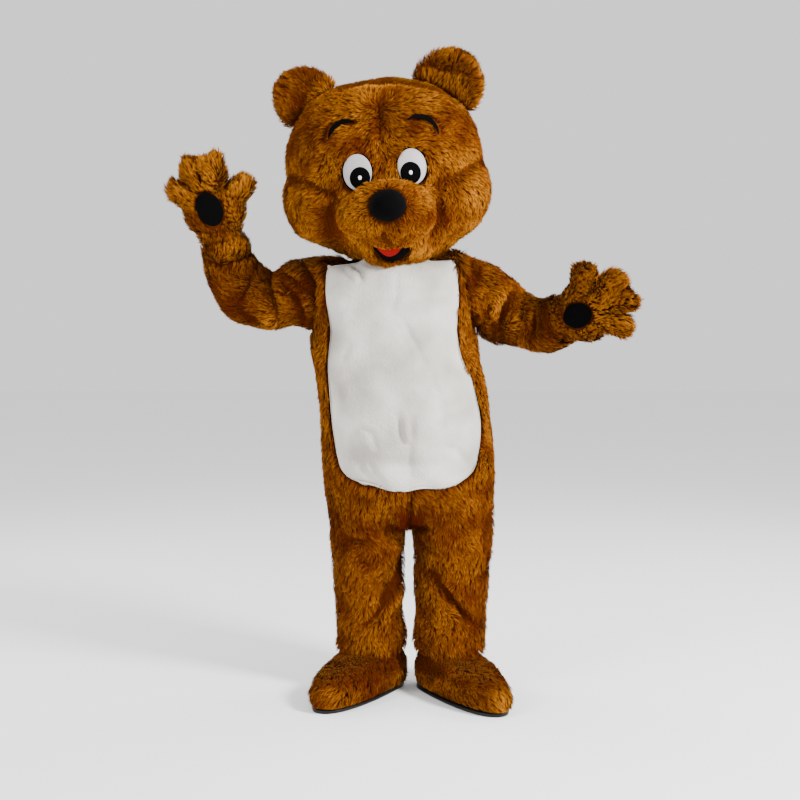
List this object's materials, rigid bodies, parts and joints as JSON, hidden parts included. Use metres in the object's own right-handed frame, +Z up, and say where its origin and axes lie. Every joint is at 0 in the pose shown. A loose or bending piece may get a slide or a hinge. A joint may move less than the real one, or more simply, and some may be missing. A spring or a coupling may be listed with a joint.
{
  "type": "bear mascot costume worn on a person",
  "caption": "Full-body furry bear mascot costume with head, suit, gloves and feet, hollow as worn in a waving pose.",
  "frame": {"origin": "middle of the suit's neck, where the wearer's shoulders carry the costume", "axes": "+Z up, the front faces -Y, +X is the right-hand side seen from the front"},
  "size_m": [1.2699, 0.702, 1.8007],
  "materials": {
    "brown_fur": "long pile fur",
    "white_plush": "short plush",
    "black_felt": "matte felt",
    "white_vinyl": "smooth vinyl",
    "red_felt": "matte felt",
    "black_sole": "matte rubber"
  },
  "bodies": {
    "root": {"belly_panel": "white_plush", "body_back_left": "brown_fur", "body_back_right": "brown_fur", "body_front_left": "brown_fur", "body_front_right": "brown_fur", "brow_left": "black_felt", "brow_right": "black_felt", "cheek_left": "brown_fur", "cheek_right": "brown_fur", "ear_left_back": "brown_fur", "ear_left_front": "brown_fur", "ear_right_back": "brown_fur", "ear_right_front": "brown_fur", "eye_light_left": "white_vinyl", "eye_light_right": "white_vinyl", "eye_pupil_left": "black_felt", "eye_pupil_right": "black_felt", "eye_rim_left": "black_felt", "eye_rim_right": "black_felt", "eye_white_left": "white_vinyl", "eye_white_right": "white_vinyl", "foot_left": "brown_fur", "foot_right": "brown_fur", "glove_left_back": "brown_fur", "glove_left_pad": "black_felt", "glove_left_palm": "brown_fur", "glove_right_back": "brown_fur", "glove_right_pad": "black_felt", "glove_right_palm": "brown_fur", "head_back_left": "brown_fur", "head_back_right": "brown_fur", "head_front_left": "brown_fur", "head_front_right": "brown_fur", "mouth": "black_felt", "muzzle": "brown_fur", "nose": "black_felt", "sleeve_left": "brown_fur", "sleeve_right": "brown_fur", "sole_left": "black_sole", "sole_right": "black_sole", "tongue": "red_felt"}
  },
  "joints": []
}
